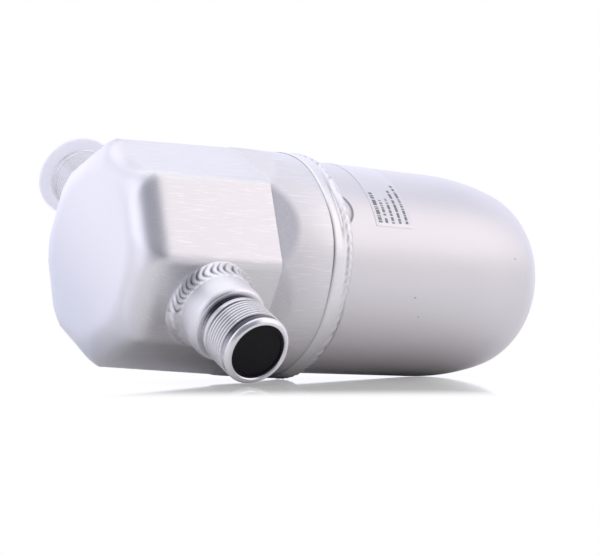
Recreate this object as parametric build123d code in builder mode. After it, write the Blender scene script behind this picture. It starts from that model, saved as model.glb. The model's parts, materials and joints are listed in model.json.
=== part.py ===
from build123d import *
from math import asin, atan2, cos, degrees, hypot, pi, radians, sin, sqrt, tan
import os

# Welded receiver drier: an octagonal pressed head, a deep-drawn can lapped into it, two threaded
# fittings on one cross axis, and the pick-up tube, filter, deflector and desiccant inside.
# It lies as it rests: on the seam weld, on the can near its closed end and on the front nose.
# Lengths are in millimetres and angles in degrees. "Station" is the distance along the drier
# from the head's closed end, and "height" the distance from the drier's axis along a fitting.

match_tolerance = 0.02  # for finding edges by their place

# ---- Can ----
can_radius = 44.5
can_wall = 2.5
can_straight_end = 160.0  # station where the straight wall ends
can_draw_radius = 115.0  # first gentle arc of the closed end
can_draw_angle = 16.2
can_knuckle_radius = 26.5
can_crown_radius = 70.0

# ---- Head ----
head_length = 89.0
head_wall = 2.5
head_shoulder = 17.0
skirt_wall = 1.95  # wall left outside the counterbore for the can
lap_depth = 12.0  # how far the can enters the head's skirt
lap_clearance = 0.05
flat_count = 8
flat_depth = 3.4  # how far the flats lie inside the head's cylinder, at their crisp inner edge
flat_draft = 2.0  # the flats lean in towards the closed end
flat_margin = 29.5  # from the flats' crisp inner edge to the head's open end
flat_ramp_angle = 22.0
flat_ramp_round = 8.0  # where the ramps run out into the cylinder
flat_edge_radius = 4.0  # at the closed end, and growing with the draft
flat_shoulder_reach = 0.35  # how far the flats' shoulders cut into the end face

# ---- Seam weld ----
bead_toe_setback = 6.5  # from the head's open end back to the weld's toe
bead_toe_step = 0.2
bead_crest_reach = 1.0  # from the head's open end on to the bead's crest
bead_crest_height = 0.7  # above the head's cylinder
bead_round = 3.5

# ---- Fittings ----
port_station = 32.2
port_length = 39.35  # nose above the flat
port_nose_chamfer = 0.5
thread_radius = 13.5  # 27 mm thread, 1.5 mm pitch, kept plain at its crest
thread_length = 17.6
thread_lead_in = 0.8
groove_width = 2.6
groove_radius = 12.2
collar_radius = 15.5
collar_chamfer = 0.9
port_bore_radius = 10.6
port_bore_depth = 30.0
port_bore_cone = 3.0
bore_edge_chamfer = 0.4
spigot_radius = 12.9
spigot_clearance = 0.1
spigot_reach = 2.5  # past the head's inner face
inlet_hole_radius = 8.0

# ---- Fitting welds ----
fillet_foot = 4.0  # from the collar out to the toe
fillet_leg = 6.3  # up the collar, from the flat
fillet_toe_step = 0.3
fillet_hollow_share = 0.85  # 1 would leave the collar on its tangent
fillet_root_depth = 5.0  # root of the blank, below the flat, before the head is cut away

# ---- Transit plugs ----
plug_clearance = 0.1
plug_length = 14.0
plug_taper = 1.5
plug_setback = 0.8
plug_lip_width = 0.8
plug_lip_height = 0.4
cap_flange_radius = 17.9
cap_flange = 1.4
cap_flange_edge = 0.5
cap_length = 12.0
cap_wall = 1.1

# ---- Label ----
label_gap = 19.0  # from the head's open end
label_width = 19.0
label_low_angle = 20.5
label_high_angle = 104.0
label_thickness = 0.15

# ---- Pick-up tube ----
tube_radius = 8.0
tube_wall = 1.5
tube_clearance = 0.15
tube_socket_depth = 8.0
tube_bend_radius = 16.0
tube_leg_offset = 14.0
tube_end_room = 35.2  # from the lower bend's centre to the can's inner end
tube_mouth_station = 15.0
oil_hole_radius = 0.8
braze_leg = 2.4

# ---- Deflector over the tube's mouth ----
deflector_station = 9.0
deflector_room = 9.25  # between its rim and the head's flats
deflector_wall = 1.6
deflector_depth = 13.0
deflector_edge = 3.0
deflector_hub_wall = 1.6
deflector_hub_reach = 3.0  # how far the hub hangs below the skirt
deflector_rib = 1.6
deflector_rib_count = 4

# ---- Tube spacer plate ----
spacer_setback = 25.0  # from the lower bend's centre
spacer_thickness = 3.0
spacer_hole_radius = 7.0
spacer_hole_offset = 26.0
spacer_hole_count = 2
seat_gap = 0.3  # loose seat between inner pieces

# ---- Desiccant bags and their ties ----
bag_room = 4.0  # between a bag and the can's wall
bag_head_reach = 17.0  # how far the bags reach back into the head
bag_spacer_gap = 5.0
bag_corner = 8.0
bag_edge = 6.0
tie_inset = 16.0  # from the bags' ends
tie_clearance = 0.2
tie_width = 4.8
tie_thickness = 1.2
tie_head_length = 7.0
tie_head_height = 1.3

# ---- Oil filter on the tube's lowest bend ----
housing_radius = 13.0
housing_wall = 1.8
housing_grip = 17.0  # length that holds the bend
housing_deck_wall = 2.0  # between the bend and the screened chamber
housing_foot_radius = 8.0
housing_foot = 1.6
window_count = 6
window_width = 7.0
window_margin = 1.4
screen_thickness = 0.6
screen_clearance = 0.1

# ---- Sizes that follow from others ----
can_inner_radius = can_radius - can_wall
head_radius = can_radius + lap_clearance + skirt_wall
flat_end = head_length - flat_margin
flat_slope = tan(radians(flat_draft))
flat_foot = head_radius - flat_depth - flat_end * flat_slope  # apothem in the end face's plane
flat_apothem = flat_foot + port_station * flat_slope
flat_shoulder = flat_foot - head_radius + head_shoulder + flat_shoulder_reach
seat_height = flat_apothem - collar_radius * flat_slope
fillet_toe_radius = collar_radius + fillet_foot
fillet_toe_reach = fillet_toe_radius * flat_slope + fillet_toe_step
bead_toe_station = head_length - bead_toe_setback
bead_crest_station = head_length + bead_crest_reach
port_nose_height = flat_apothem + port_length
nose_corner_height = port_nose_height - port_nose_chamfer
thread_start = nose_corner_height - thread_length
groove_start = thread_start - groove_width
fillet_top_height = flat_apothem + fillet_leg
spigot_end = flat_apothem - head_wall - spigot_reach
label_station = head_length + label_gap
deflector_radius = flat_apothem - head_wall - deflector_room
bag_radius = can_inner_radius - bag_room
bag_start = head_length - bag_head_reach

# ---- Can end: three arcs, each tangent to the next ----
draw_angle = radians(can_draw_angle)
draw_center = Vector(can_straight_end, can_radius - can_draw_radius)
knuckle_center = draw_center + Vector(sin(draw_angle), cos(draw_angle)) * (
    can_draw_radius - can_knuckle_radius
)
crown_offset = sqrt((can_crown_radius - can_knuckle_radius) ** 2 - knuckle_center.Y**2)
crown_center = Vector(knuckle_center.X - crown_offset, 0)
knuckle_angle = atan2(crown_offset, knuckle_center.Y)
can_end = crown_center.X + can_crown_radius
tube_turn_station = can_end - can_wall - tube_end_room
spacer_station = tube_turn_station - spacer_setback
bag_length = spacer_station - bag_spacer_gap - bag_start

# ---- How it lies: tilted on bead and can, and turned until the front nose meets the floor ----
bead_crest_radius = head_radius + bead_crest_height
bead_center = Vector(bead_crest_station, bead_crest_radius - bead_round)
rest_span = draw_center - bead_center
lie_tilt = asin((bead_round - can_draw_radius) / rest_span.length) - atan2(rest_span.Y, rest_span.X)
axis_height = bead_center.X * sin(lie_tilt) + bead_center.Y * cos(lie_tilt) + bead_round
port_axis_height = axis_height - port_station * sin(lie_tilt)
nose_angle = asin(port_axis_height / hypot(nose_corner_height, thread_radius)) - atan2(
    thread_radius, nose_corner_height
)
port_angle = asin(sin(nose_angle) / cos(lie_tilt))

# ---- Base point: the middle of the object's footprint ----
head_low_x = head_shoulder * (cos(lie_tilt) - 1) - (head_radius - head_shoulder) * sin(lie_tilt)
can_high_x = crown_center.X * cos(lie_tilt) + can_crown_radius
cap_reach = (port_nose_height + cap_flange - cap_flange_edge) * cos(port_angle) + (
    cap_flange_radius * sin(port_angle)
)
nose_reach = nose_corner_height * cos(port_angle) + thread_radius * sin(port_angle)
base_point = Vector(-(head_low_x + can_high_x) / 2, (nose_reach - cap_reach) / 2, axis_height)

# ---- Directions and working planes ----
along = Vector(cos(lie_tilt), 0, -sin(lie_tilt))
upward = Vector(sin(lie_tilt), 0, cos(lie_tilt))
nearward = Vector(0, -1, 0)
front = nearward * cos(port_angle) - upward * sin(port_angle)
drier_axis = Axis(base_point, along)
port_point = base_point + along * port_station
meridian = Plane(origin=base_point, x_dir=along, z_dir=nearward)


def cross_plane(station):
    """Plane across the drier, with X towards the front fitting."""
    return Plane(origin=base_point + along * station, x_dir=front, z_dir=along)


def level_plane(station):
    """Plane across the drier, with X level towards the front and Y up."""
    return Plane(origin=base_point + along * station, x_dir=nearward, z_dir=-along)


def port_plane(outward):
    """Plane through a fitting's axis: X is the height, Y runs along the drier."""
    return Plane(origin=port_point, x_dir=outward, z_dir=outward.cross(along))


# ---- Closed forms that the shells are cut from ----
def flat_outline(apothem, edge_radius):
    """Outline of the eight flats across the head."""
    with BuildSketch() as outline:
        RegularPolygon(apothem, flat_count, major_radius=False, rotation=180 / flat_count)
        fillet(outline.vertices(), edge_radius)
    return outline.sketch


def runs_out(edge, radius):
    """True for an edge where a flat's ramp meets the head's cylinder."""
    stations = [(edge @ share - base_point).dot(along) for share in (0, 0.5, 1)]
    reach = [(edge @ share - base_point).cross(along).length for share in (0, 0.5, 1)]
    on_cylinder = all(abs(length - radius) < match_tolerance for length in reach)
    beside_ramps = flat_end < min(stations) and max(stations) < head_length - match_tolerance
    return on_cylinder and beside_ramps and edge.geom_type != GeomType.LINE


def shoulder_cutters(inset):
    """What is pressed off round the closed end, so that each flat runs into its shoulder."""
    radius = flat_shoulder - inset
    lean = radians(flat_draft)
    touch = inset + radius * (1 - sin(lean))
    touch_height = flat_foot - inset / cos(lean) + touch * flat_slope
    end_height = touch_height - radius * cos(lean)
    clear_height = head_radius + head_shoulder
    with BuildPart() as cutters:
        for number in range(flat_count):
            turn = 2 * pi * number / flat_count
            outward = front * cos(turn) + along.cross(front) * sin(turn)
            with BuildSketch(Plane(origin=base_point, x_dir=along, z_dir=along.cross(outward))):
                with BuildLine():
                    RadiusArc((inset, end_height), (touch, touch_height), radius)
                    Polyline(
                        (touch, touch_height),
                        (touch, clear_height),
                        (-head_shoulder, clear_height),
                        (-head_shoulder, end_height),
                        (inset, end_height),
                    )
                make_face()
            extrude(amount=head_radius, both=True)
    return cutters.part


def head_form(inset):
    """The head's closed shape, drawn inwards all round by inset."""
    radius = head_radius - inset
    shoulder = head_shoulder - inset
    foot = flat_foot - inset / cos(radians(flat_draft))
    inner_rise = flat_end * flat_slope
    ramp_rise = radius + flat_edge_radius - foot - inner_rise
    ramp_length = ramp_rise / tan(radians(flat_ramp_angle))
    with BuildPart() as press_tool:
        with BuildSketch(cross_plane(0)):
            Circle(radius + head_shoulder)
        extrude(amount=flat_end + ramp_length)
        with BuildSketch(cross_plane(0)):
            add(flat_outline(foot, flat_edge_radius))
        extrude(amount=flat_end, taper=-flat_draft, mode=Mode.SUBTRACT)
        with BuildSketch(cross_plane(flat_end)):
            add(flat_outline(foot + inner_rise, flat_edge_radius + inner_rise))
        extrude(amount=ramp_length, taper=-flat_ramp_angle, mode=Mode.SUBTRACT)
    with BuildPart() as form:
        with BuildSketch(meridian):
            with BuildLine():
                Line((inset, 0), (inset, radius - shoulder))
                RadiusArc((inset, radius - shoulder), (inset + shoulder, radius), shoulder)
                Line((inset + shoulder, radius), (head_length, radius))
                Line((head_length, radius), (head_length, 0))
                Line((head_length, 0), (inset, 0))
            make_face()
        revolve(axis=drier_axis)
        add(press_tool.part, mode=Mode.SUBTRACT)
        run_out = form.edges().filter_by(lambda edge: runs_out(edge, radius))
        fillet(run_out, flat_ramp_round - inset)
        add(shoulder_cutters(inset), mode=Mode.SUBTRACT)
    return form.part


def can_form(inset):
    """The can's closed shape, drawn inwards all round by inset."""
    start = head_length - lap_depth
    with BuildPart() as form:
        with BuildSketch(meridian):
            with BuildLine():
                Line((start, 0), (start, can_radius - inset))
                wall = Line((start, can_radius - inset), (can_straight_end, can_radius - inset))
                draw = JernArc(wall @ 1, wall % 1, can_draw_radius - inset, -can_draw_angle)
                knuckle = JernArc(
                    draw @ 1,
                    draw % 1,
                    can_knuckle_radius - inset,
                    can_draw_angle - degrees(knuckle_angle),
                )
                crown = JernArc(
                    knuckle @ 1,
                    knuckle % 1,
                    can_crown_radius - inset,
                    degrees(knuckle_angle) - 90,
                )
                Line(crown @ 1, (start, 0))
            make_face()
        revolve(axis=drier_axis)
    return form.part


def tube_rod(radius):
    """Solid rod along the pick-up tube's whole path."""
    turn = tube_turn_station - port_station
    with BuildLine(port_plane(front)) as path:
        Line(
            (spigot_end + tube_socket_depth, 0),
            (tube_leg_offset + tube_bend_radius, 0),
        )
        CenterArc(
            (tube_leg_offset + tube_bend_radius, tube_bend_radius), tube_bend_radius, 270, -90
        )
        Line((tube_leg_offset, tube_bend_radius), (tube_leg_offset, turn))
        CenterArc((0, turn), tube_leg_offset, 0, 180)
        Line((-tube_leg_offset, turn), (-tube_leg_offset, tube_mouth_station - port_station))
    with BuildPart() as rod:
        with BuildSketch(Plane(origin=path.line @ 0, z_dir=path.line % 0)):
            Circle(radius)
        sweep(path=path.line)
    return rod.part


os.makedirs("parts", exist_ok=True)

# ---- Head shell ----
with BuildPart() as head_shell:
    add(head_form(0))
    add(head_form(head_wall), mode=Mode.SUBTRACT)
    with BuildSketch(cross_plane(head_length - lap_depth)):
        Circle(can_radius + lap_clearance)
    extrude(amount=lap_depth, mode=Mode.SUBTRACT)
    with BuildSketch(Plane(origin=port_point, z_dir=front)):
        Circle(spigot_radius + spigot_clearance)
    extrude(amount=head_radius, both=True, mode=Mode.SUBTRACT)
    for outward in (front, -front):
        with BuildSketch(Plane(origin=port_point + outward * seat_height, z_dir=outward)):
            Circle(collar_radius + spigot_clearance)
        extrude(amount=head_radius, mode=Mode.SUBTRACT)
head_shell.part.label = "head_shell"
export_step(head_shell.part, "parts/head_shell.step")

# ---- Can shell ----
with BuildPart() as can_shell:
    add(can_form(0))
    add(can_form(can_wall), mode=Mode.SUBTRACT)
can_shell.part.label = "can_shell"
export_step(can_shell.part, "parts/can_shell.step")

# ---- Seam weld: a smooth wash on the head and a raised bead where can and head meet ----
bead_wash_angle = atan2(bead_crest_height, bead_crest_station - bead_toe_station)
bead_wash_top = bead_center + Vector(-sin(bead_wash_angle), cos(bead_wash_angle)) * bead_round
bead_top = bead_center + Vector(0, bead_round)
bead_foot_rise = can_radius - bead_center.Y
bead_foot = bead_center + Vector(sqrt(bead_round**2 - bead_foot_rise**2), bead_foot_rise)
bead_toe_radius = head_radius + bead_toe_step
with BuildPart() as seam_weld:
    with BuildSketch(meridian):
        with BuildLine():
            Line((head_length, can_radius), (head_length, head_radius))
            Line((head_length, head_radius), (bead_toe_station, head_radius))
            Line((bead_toe_station, head_radius), (bead_toe_station, bead_toe_radius))
            Line((bead_toe_station, bead_toe_radius), bead_wash_top)
            ThreePointArc(bead_wash_top, bead_top, bead_foot)
            Line(bead_foot, (head_length, can_radius))
        make_face()
    revolve(axis=drier_axis)
seam_weld.part.label = "seam_weld"
export_step(seam_weld.part, "parts/seam_weld.step")


# ---- Fittings ----
def turned_fitting(outward, throat_radius):
    """Threaded fitting turned about its own axis, with a spigot that enters the head."""
    cone_start = port_nose_height - port_bore_depth
    with BuildPart() as fitting:
        with BuildSketch(port_plane(outward)):
            with BuildLine():
                Polyline(
                    (spigot_end, throat_radius),
                    (spigot_end, spigot_radius),
                    (seat_height, spigot_radius),
                    (seat_height, collar_radius),
                    (groove_start - collar_chamfer, collar_radius),
                    (groove_start, collar_radius - collar_chamfer),
                    (groove_start, groove_radius),
                    (thread_start - thread_lead_in, groove_radius),
                    (thread_start, thread_radius),
                    (nose_corner_height, thread_radius),
                    (port_nose_height, thread_radius - port_nose_chamfer),
                    (port_nose_height, port_bore_radius + bore_edge_chamfer),
                    (port_nose_height - bore_edge_chamfer, port_bore_radius),
                    (cone_start, port_bore_radius),
                    (cone_start - port_bore_cone, throat_radius),
                    close=True,
                )
            make_face()
        revolve(axis=Axis(port_point, outward))
    return fitting.part


with BuildPart() as front_fitting:
    add(turned_fitting(front, tube_radius - tube_wall))
    with BuildSketch(Plane(origin=port_point + front * spigot_end, z_dir=front)):
        Circle(tube_radius + tube_clearance)
    extrude(amount=tube_socket_depth + seat_gap, mode=Mode.SUBTRACT)
front_fitting.part.label = "front_fitting"
export_step(front_fitting.part, "parts/front_fitting.step")

with BuildPart() as rear_fitting:
    add(turned_fitting(-front, inlet_hole_radius))
rear_fitting.part.label = "rear_fitting"
export_step(rear_fitting.part, "parts/rear_fitting.step")


# ---- Fitting welds: a crowned fillet from the flat up to the collar ----
def fillet_weld(outward):
    """Weld ring round a fitting, cut to the head's surface under it."""
    root = flat_apothem - fillet_root_depth
    toe = Vector(flat_apothem + fillet_toe_reach, fillet_toe_radius)
    top = Vector(fillet_top_height, collar_radius)
    face = top - toe
    full_hollow = face.length / 2 * tan(atan2(-face.Y, face.X) / 2)
    inwards = Vector(face.Y, -face.X).normalized()
    hollow = (toe + top) / 2 + inwards * full_hollow * fillet_hollow_share
    with BuildPart() as weld:
        with BuildSketch(port_plane(outward)):
            with BuildLine():
                Line(top, (root, collar_radius))
                Line((root, collar_radius), (root, fillet_toe_radius))
                Line((root, fillet_toe_radius), toe)
                ThreePointArc(toe, hollow, top)
            make_face()
        revolve(axis=Axis(port_point, outward))
        add(head_form(0), mode=Mode.SUBTRACT)
    return weld.part


with BuildPart() as front_fitting_weld:
    add(fillet_weld(front))
front_fitting_weld.part.label = "front_fitting_weld"
export_step(front_fitting_weld.part, "parts/front_fitting_weld.step")

with BuildPart() as rear_fitting_weld:
    add(fillet_weld(-front))
rear_fitting_weld.part.label = "rear_fitting_weld"
export_step(rear_fitting_weld.part, "parts/rear_fitting_weld.step")

# ---- Transit plug in the front fitting: a solid bung with a fine lip round its face ----
plug_radius = port_bore_radius - plug_clearance
plug_outer_face = port_nose_height - plug_setback
plug_inner_face = plug_outer_face - plug_length
with BuildPart() as front_plug:
    with BuildSketch(port_plane(front)):
        with BuildLine():
            Polyline(
                (plug_outer_face, 0),
                (plug_outer_face, plug_radius - plug_lip_width),
                (plug_outer_face + plug_lip_height, plug_radius - plug_lip_width),
                (plug_outer_face + plug_lip_height, plug_radius),
                (plug_inner_face + plug_taper, plug_radius),
                (plug_inner_face, plug_radius - plug_taper),
                (plug_inner_face, 0),
                close=True,
            )
        make_face()
    revolve(axis=Axis(port_point, front))
front_plug.part.label = "front_plug"
export_step(front_plug.part, "parts/front_plug.step")

# ---- Transit cap in the rear fitting: a flange on the nose and a hollow stem in the bore ----
cap_stem_end = port_nose_height - cap_length
cap_outer_face = port_nose_height + cap_flange
with BuildPart() as rear_cap:
    with BuildSketch(port_plane(-front)):
        with BuildLine():
            Polyline(
                (cap_stem_end, 0),
                (cap_stem_end, plug_radius),
                (port_nose_height, plug_radius),
                (port_nose_height, cap_flange_radius - cap_flange_edge),
                (port_nose_height + cap_flange_edge, cap_flange_radius),
                (cap_outer_face - cap_flange_edge, cap_flange_radius),
                (cap_outer_face, cap_flange_radius - cap_flange_edge),
                (cap_outer_face, plug_radius - cap_wall),
                (cap_stem_end + cap_wall, plug_radius - cap_wall),
                (cap_stem_end + cap_wall, 0),
                close=True,
            )
        make_face()
    revolve(axis=Axis(port_point, -front))
rear_cap.part.label = "rear_cap"
export_step(rear_cap.part, "parts/rear_cap.step")

# ---- Label: a thin film on the can's upper side ----
label_sweep = label_high_angle - label_low_angle
label_face = can_radius + label_thickness
with BuildPart() as can_label:
    with BuildSketch(level_plane(label_station)):
        with BuildLine():
            inner_arc = CenterArc((0, 0), can_radius, label_low_angle, label_sweep)
            outer_arc = CenterArc((0, 0), label_face, label_low_angle, label_sweep)
            Line(inner_arc @ 0, outer_arc @ 0)
            Line(inner_arc @ 1, outer_arc @ 1)
        make_face()
    extrude(amount=-label_width)
can_label.part.label = "can_label"
export_step(can_label.part, "parts/can_label.step")

# ---- Pick-up tube: from the front fitting, down the can, round the bend and up to its mouth ----
with BuildPart() as pickup_tube:
    add(tube_rod(tube_radius))
    add(tube_rod(tube_radius - tube_wall), mode=Mode.SUBTRACT)
    with BuildSketch(cross_plane(tube_turn_station)):
        Circle(oil_hole_radius)
    extrude(amount=tube_leg_offset + tube_radius, mode=Mode.SUBTRACT)
pickup_tube.part.label = "pickup_tube"
export_step(pickup_tube.part, "parts/pickup_tube.step")

# ---- Braze between the tube and the front fitting's inner face ----
with BuildPart() as tube_braze:
    with BuildSketch(port_plane(front)):
        with BuildLine():
            Line((spigot_end, tube_radius), (spigot_end, tube_radius + braze_leg))
            RadiusArc(
                (spigot_end, tube_radius + braze_leg),
                (spigot_end - braze_leg, tube_radius),
                -braze_leg,
            )
            Line((spigot_end - braze_leg, tube_radius), (spigot_end, tube_radius))
        make_face()
    revolve(axis=Axis(port_point, front))
tube_braze.part.label = "tube_braze"
export_step(tube_braze.part, "parts/tube_braze.step")

# ---- Deflector: a dish over the tube's mouth, with a hub on the tube held by ribs ----
hub_radius = tube_radius + tube_clearance + deflector_hub_wall
rib_station = deflector_station + deflector_wall
skirt_end = deflector_station + deflector_depth
hub_end = skirt_end + deflector_hub_reach
hub_center = (-tube_leg_offset, 0)
with BuildPart() as deflector:
    with BuildSketch(cross_plane(deflector_station)):
        Circle(deflector_radius)
    extrude(amount=deflector_depth)
    fillet(deflector.edges().sort_by(drier_axis)[0], deflector_edge)
    with BuildSketch(cross_plane(rib_station)):
        Circle(deflector_radius - deflector_wall)
    extrude(amount=deflector_depth, mode=Mode.SUBTRACT)
    with BuildSketch(cross_plane(rib_station)):
        with Locations(hub_center):
            with PolarLocations(0, deflector_rib_count, start_angle=180 / deflector_rib_count):
                Rectangle(
                    2 * deflector_radius, deflector_rib, align=(Align.MIN, Align.CENTER)
                )
            Circle(hub_radius - deflector_hub_wall / 2, mode=Mode.SUBTRACT)
        Circle(deflector_radius - deflector_wall / 2, mode=Mode.INTERSECT)
    extrude(amount=skirt_end - rib_station)
    with BuildSketch(cross_plane(tube_mouth_station)):
        with Locations(hub_center):
            Circle(hub_radius)
            Circle(tube_radius + tube_clearance, mode=Mode.SUBTRACT)
    extrude(amount=hub_end - tube_mouth_station)
deflector.part.label = "deflector"
export_step(deflector.part, "parts/deflector.step")

# ---- Spacer plate: holds the tube's two legs in the middle of the can ----
with BuildPart() as tube_spacer:
    with BuildSketch(cross_plane(spacer_station)):
        Circle(can_inner_radius - seat_gap)
        with Locations((tube_leg_offset, 0), (-tube_leg_offset, 0)):
            Circle(tube_radius + tube_clearance, mode=Mode.SUBTRACT)
        with PolarLocations(spacer_hole_offset, spacer_hole_count, start_angle=90):
            Circle(spacer_hole_radius, mode=Mode.SUBTRACT)
    extrude(amount=spacer_thickness)
tube_spacer.part.label = "tube_spacer"
export_step(tube_spacer.part, "parts/tube_spacer.step")

# ---- Desiccant bags: one cushion on each side of the tube's legs ----
bag_inner_side = tube_radius + seat_gap
bag_sides = {"desiccant_bag_lower": (1, Align.MIN), "desiccant_bag_upper": (-1, Align.MAX)}
for bag_name, (bag_side, bag_align) in bag_sides.items():
    with BuildPart() as desiccant_bag:
        with BuildSketch(cross_plane(bag_start)) as bag_section:
            Circle(bag_radius)
            with Locations((0, bag_side * bag_inner_side)):
                Rectangle(
                    2 * bag_radius,
                    bag_radius,
                    align=(Align.CENTER, bag_align),
                    mode=Mode.INTERSECT,
                )
            fillet(bag_section.vertices(), bag_corner)
        extrude(amount=bag_length)
        bag_ends = desiccant_bag.faces().sort_by(drier_axis)
        fillet(bag_ends[0].edges() + bag_ends[-1].edges(), bag_edge)
    desiccant_bag.part.label = bag_name
    export_step(desiccant_bag.part, f"parts/{bag_name}.step")

# ---- Bag ties: two straps round both bags, each with its buckle ----
tie_inner_radius = bag_radius + tie_clearance
tie_outer_radius = tie_inner_radius + tie_thickness
first_tie_station = bag_start + tie_inset
last_tie_station = bag_start + bag_length - tie_inset - tie_width
with BuildPart() as bag_ties:
    for tie_station in (first_tie_station, last_tie_station):
        with BuildSketch(cross_plane(tie_station)):
            Circle(tie_outer_radius)
            with Locations((0, tie_outer_radius)):
                Rectangle(tie_head_length, 2 * tie_head_height)
            Circle(tie_inner_radius, mode=Mode.SUBTRACT)
        extrude(amount=tie_width)
bag_ties.part.label = "bag_ties"
export_step(bag_ties.part, "parts/bag_ties.step")

# ---- Oil filter: a two-piece housing snapped round the bend, over a screened chamber ----
crown_seat = crown_center.X + sqrt((can_crown_radius - can_wall) ** 2 - housing_foot_radius**2)
housing_end = crown_seat - seat_gap
housing_deck = tube_turn_station + tube_leg_offset + tube_radius + housing_deck_wall
housing_start = housing_deck - housing_grip
chamber_end = housing_end - housing_foot
chamber_radius = housing_radius - housing_wall
window_length = chamber_end - housing_deck - 2 * window_margin
screen_radius = chamber_radius - screen_clearance
with BuildPart() as filter_housing:
    with BuildSketch(cross_plane(housing_start)):
        Circle(housing_radius)
    extrude(amount=chamber_end - housing_start)
    with BuildSketch(cross_plane(chamber_end)):
        Circle(housing_radius)
    with BuildSketch(cross_plane(housing_end)):
        Circle(housing_foot_radius)
    loft()
    with BuildSketch(cross_plane(housing_deck)):
        Circle(chamber_radius)
    extrude(amount=chamber_end - housing_deck, mode=Mode.SUBTRACT)
    with BuildSketch(cross_plane(housing_deck + window_margin)):
        with PolarLocations(0, window_count, start_angle=180 / window_count):
            Rectangle(2 * housing_radius, window_width, align=(Align.MIN, Align.CENTER))
    extrude(amount=window_length, mode=Mode.SUBTRACT)
    with BuildSketch(cross_plane(tube_turn_station)):
        Circle(oil_hole_radius)
    extrude(amount=housing_deck - tube_turn_station, mode=Mode.SUBTRACT)
    add(tube_rod(tube_radius + tube_clearance), mode=Mode.SUBTRACT)

port_mid_plane = port_plane(front)
with BuildPart() as filter_housing_lower:
    add(filter_housing.part)
    split(bisect_by=port_mid_plane, keep=Keep.TOP)
filter_housing_lower.part.label = "filter_housing_lower"
export_step(filter_housing_lower.part, "parts/filter_housing_lower.step")

with BuildPart() as filter_housing_upper:
    add(filter_housing.part)
    split(bisect_by=port_mid_plane, keep=Keep.BOTTOM)
filter_housing_upper.part.label = "filter_housing_upper"
export_step(filter_housing_upper.part, "parts/filter_housing_upper.step")

# ---- Filter screen: a mesh sleeve inside the housing's windows ----
with BuildPart() as filter_screen:
    with BuildSketch(cross_plane(housing_deck)):
        Circle(screen_radius)
        Circle(screen_radius - screen_thickness, mode=Mode.SUBTRACT)
    extrude(amount=chamber_end - housing_deck)
filter_screen.part.label = "filter_screen"
export_step(filter_screen.part, "parts/filter_screen.step")
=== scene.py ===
# %% [markdown]
# # A receiver drier in bare aluminium
# A receiver drier is a small pressure vessel in a car's air conditioning. It stores refrigerant,
# filters it and dries it. This one has a pressed octagonal head, a drawn can lapped into it and
# welded round, and two threaded fittings closed for transit. The solid model already has every
# piece at its real size and place, so this lesson adds what the eye reads as metal, weld and
# rubber: threads, ripples, brush lines, grime and light.

# %% Load the solid model
import json
import math
import random

import bpy
from mathutils import Matrix, Vector


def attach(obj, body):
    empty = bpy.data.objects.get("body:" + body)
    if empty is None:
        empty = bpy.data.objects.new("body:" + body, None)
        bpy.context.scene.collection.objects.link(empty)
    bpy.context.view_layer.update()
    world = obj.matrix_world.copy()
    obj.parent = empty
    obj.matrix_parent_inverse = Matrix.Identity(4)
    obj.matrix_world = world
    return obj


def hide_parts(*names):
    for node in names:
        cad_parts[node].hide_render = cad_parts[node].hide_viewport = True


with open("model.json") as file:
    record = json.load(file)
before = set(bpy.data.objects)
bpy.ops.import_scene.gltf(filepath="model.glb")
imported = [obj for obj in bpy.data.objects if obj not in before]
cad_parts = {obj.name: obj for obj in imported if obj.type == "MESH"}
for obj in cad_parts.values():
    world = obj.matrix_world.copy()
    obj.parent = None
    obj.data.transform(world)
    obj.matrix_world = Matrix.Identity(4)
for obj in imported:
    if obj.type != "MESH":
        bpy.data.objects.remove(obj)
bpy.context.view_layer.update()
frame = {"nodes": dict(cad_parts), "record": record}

node = frame["nodes"]
print("pieces in the solid model:", len(node))

# %% [markdown]
# ## Where things are
# The record says where the fittings and the mounting band sit, so the drier's own directions are
# read from it and nothing is measured twice. "Station" is the distance along the drier from the
# head's closed end, and "height" is the distance from the drier's axis along a fitting. Sizes are
# written in millimetres, as on a drawing, and multiplied by MM where Blender wants metres.

# %% Directions and base point
MM = 0.001
BAND_STATION = 144 * MM  # middle of the mounting band
PORT_STATION = 32.2 * MM  # common axis of the fittings

mount = {entry["name"]: entry for entry in frame["record"]["mounts"]}
along = Vector(mount["can_band"]["axis"]).normalized()
front = Vector(mount["front_port"]["axis"]).normalized()
nearward = Vector((0, -1, 0))
upward = along.cross(nearward).normalized() * -1
base_point = Vector(mount["can_band"]["pos_m"]) - along * BAND_STATION
port_point = base_point + along * PORT_STATION


def standing(origin, axis, side):
    """Matrix that stands a piece modelled round Z on origin, with Z along axis and X near side."""
    cross = axis.cross(side).normalized()
    turn = Matrix((cross.cross(axis), cross, axis)).transposed().to_4x4()
    return Matrix.Translation(origin) @ turn


drier_place = standing(base_point, along, nearward)
front_place = standing(port_point, front, along)
rear_place = standing(port_point, -front, along)
print("drier axis", tuple(round(value, 4) for value in along))

# %% [markdown]
# ## The camera
# It stands low and close to the floor, off the head's closed end, with a long lens. It comes
# first, so that every later step can be judged from the same place.

# %% Camera
camera_data = bpy.data.cameras.new("camera")
camera_data.sensor_width = 36
camera_data.lens = 98.041
camera = bpy.data.objects.new("camera", camera_data)
camera.location = (-0.40197018, -0.56165987, 0.01697115)
camera.rotation_euler = (1.6078004, 0.0025136, -0.6151381)
bpy.context.scene.collection.objects.link(camera)
bpy.context.scene.camera = camera
print("the camera stands", round(camera.location.z / MM), "mm above the floor")

# %% [markdown]
# ## Tools for modelling by operator
# Blender's own operators act on whatever is selected, so a forgotten selection spoils the next
# step. These helpers begin every step from a clean selection and end it in object mode.

# %% Selection and modifiers
MERGE_DISTANCE = 0.002 * MM


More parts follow.
